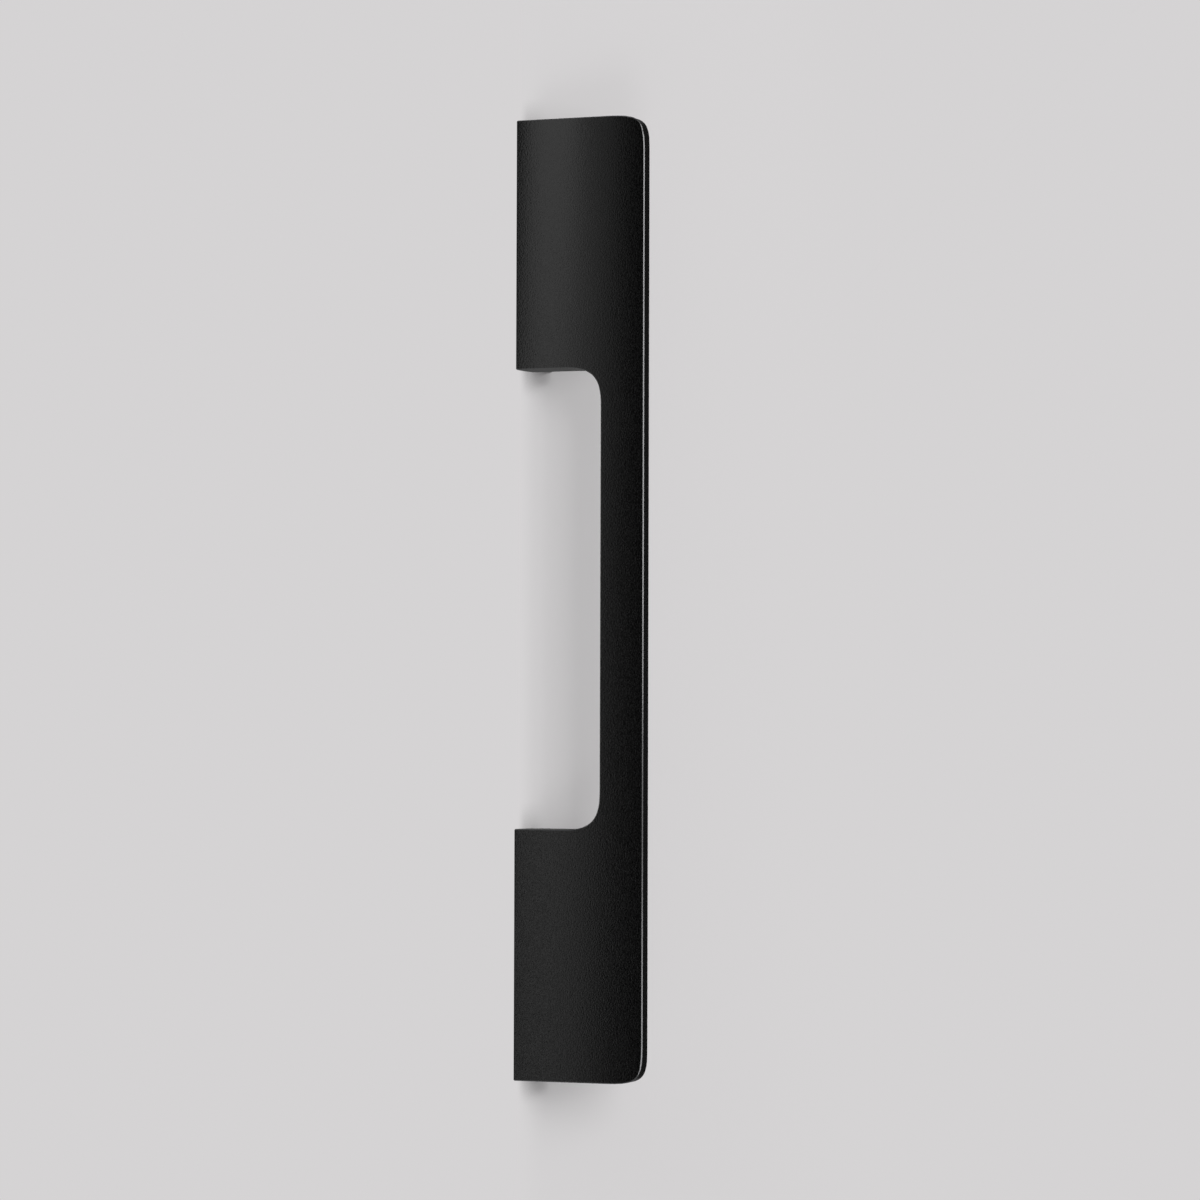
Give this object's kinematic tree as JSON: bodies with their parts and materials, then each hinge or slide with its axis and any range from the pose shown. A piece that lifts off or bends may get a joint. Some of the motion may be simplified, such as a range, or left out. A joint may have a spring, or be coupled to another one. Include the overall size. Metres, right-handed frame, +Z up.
{
  "type": "door pull handle",
  "caption": "Flat door pull made from one aluminium profile: a foot on the door, a sloping face with a free lip, and a window cut in beside a slim grip bar.",
  "frame": {"origin": "on the door's face, halfway between the two screw holes in the foot", "axes": "+Z up the handle's length, +X from the foot to the free lip, +Y into the door; the front face looks to -Y"},
  "size_m": [0.0471, 0.0274, 0.34],
  "materials": {
    "black_aluminium": "brushed along its length and anodised matt black"
  },
  "bodies": {
    "root": {"pull_handle": "black_aluminium"}
  },
  "joints": []
}
